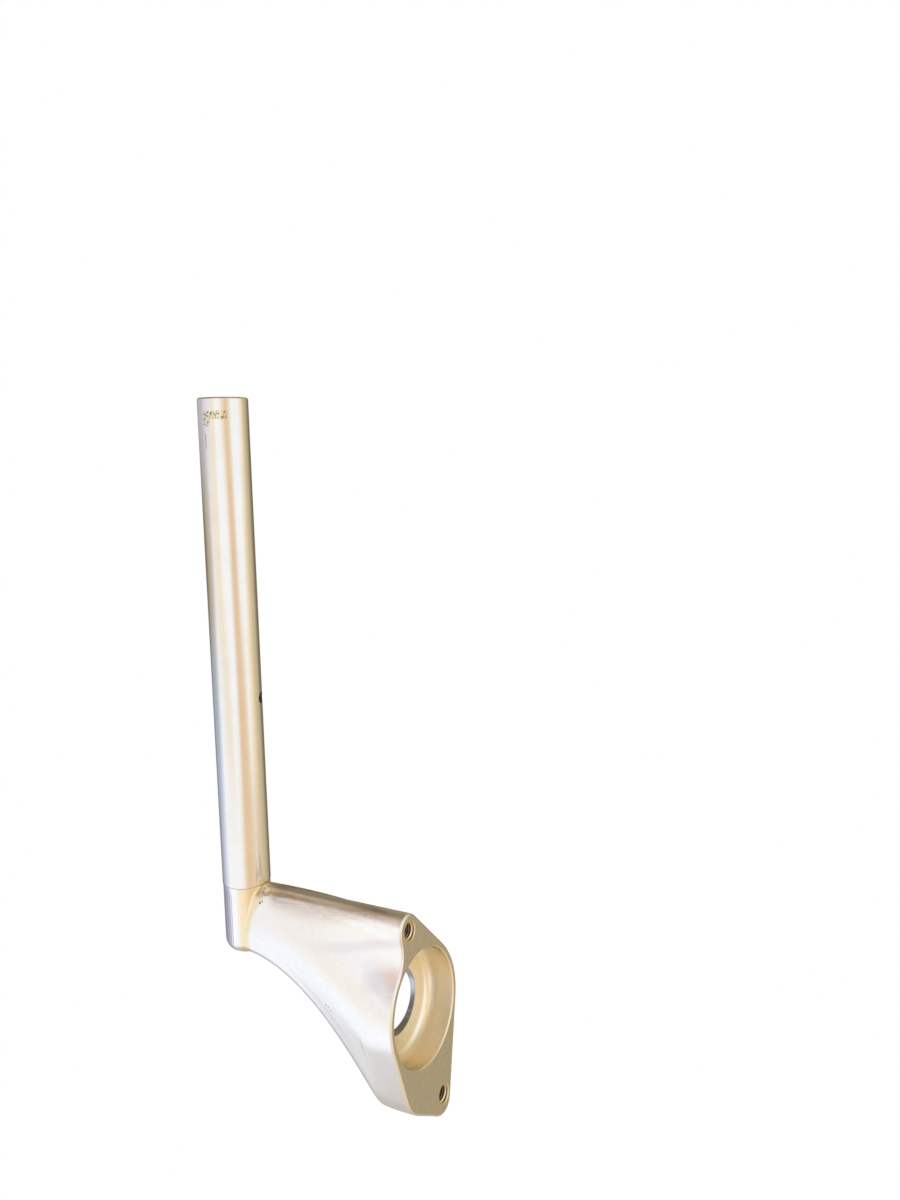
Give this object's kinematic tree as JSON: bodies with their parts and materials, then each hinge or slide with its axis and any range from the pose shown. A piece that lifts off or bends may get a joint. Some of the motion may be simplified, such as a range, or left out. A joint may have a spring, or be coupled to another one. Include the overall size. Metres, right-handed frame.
{
  "type": "clip on handlebar",
  "caption": "Clip-on handlebar half: a cast riser arm with a bored fork seat and bolt flange carries a straight, open-ended bar tube.",
  "frame": {"origin": "centre of the fork seat on the mating face", "axes": "+Z along the fork leg axis, from the mating face up into the arm; +X towards the near bolt hole and the bar; the bar leans towards +Y"},
  "size_m": [0.3342, 0.0619, 0.0953],
  "materials": {
    "cast_arm": "satin cast with a pale champagne coat",
    "drawn_tube": "smooth satin with a pale champagne coat"
  },
  "bodies": {
    "root": {"riser_arm": "cast_arm", "bar_tube": "drawn_tube"}
  },
  "joints": []
}
